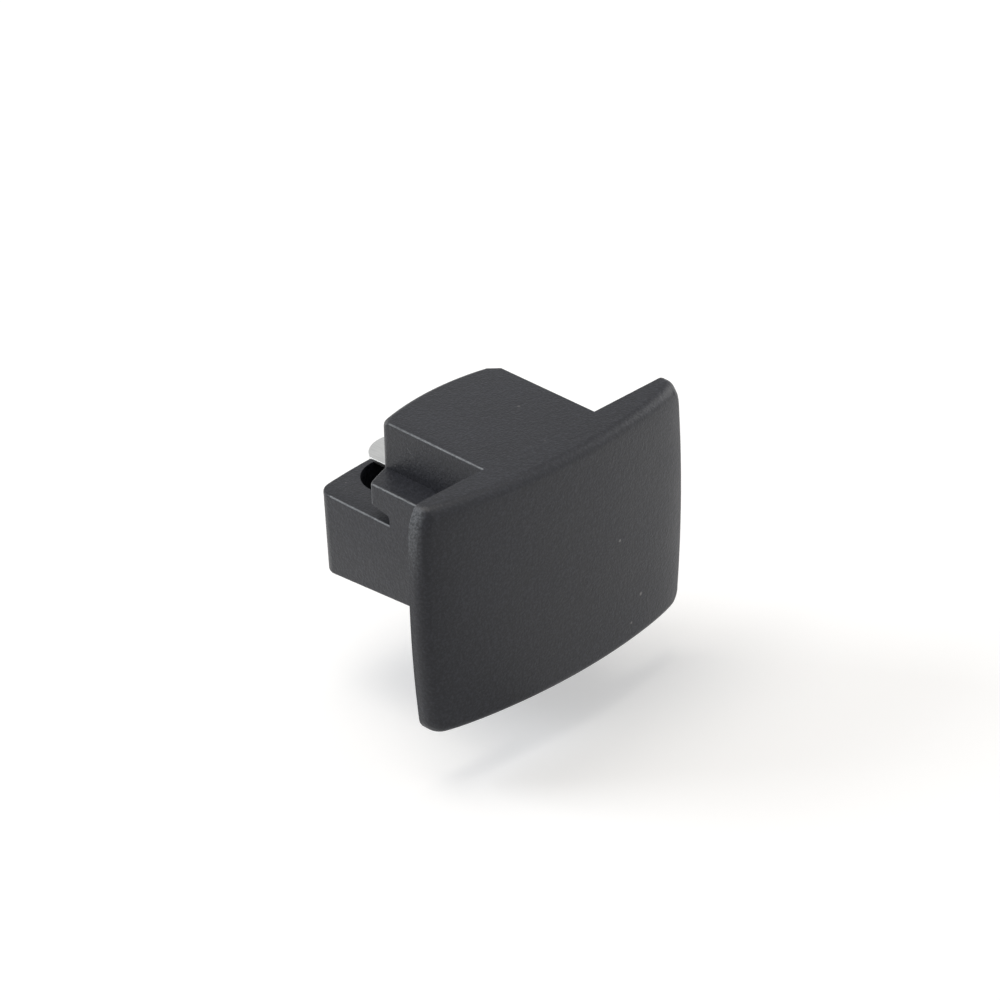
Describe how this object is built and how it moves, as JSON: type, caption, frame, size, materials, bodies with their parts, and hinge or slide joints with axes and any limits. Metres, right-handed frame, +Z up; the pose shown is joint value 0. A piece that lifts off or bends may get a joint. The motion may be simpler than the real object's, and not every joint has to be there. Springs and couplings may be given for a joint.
{
  "type": "track end connector",
  "caption": "Moulded end cap for a lighting track: a bowed face plate with a stepped plug behind it and a flat steel tongue held in the plug.",
  "frame": {"origin": "on the rear of the face plate, at the middle of the plate's lower edge", "axes": "+X across the track, +Y into the track and away from the face plate, +Z up towards the neck of the plug, which fills the mouth of the track"},
  "size_m": [0.036, 0.0277, 0.0254],
  "materials": {
    "black_plastic": "black, with a fine spark-eroded texture",
    "zinc_plated_steel": "zinc-plated sheet with bright cut edges"
  },
  "bodies": {
    "root": {"end_cap": "black_plastic", "steel_tongue": "zinc_plated_steel"}
  },
  "joints": []
}
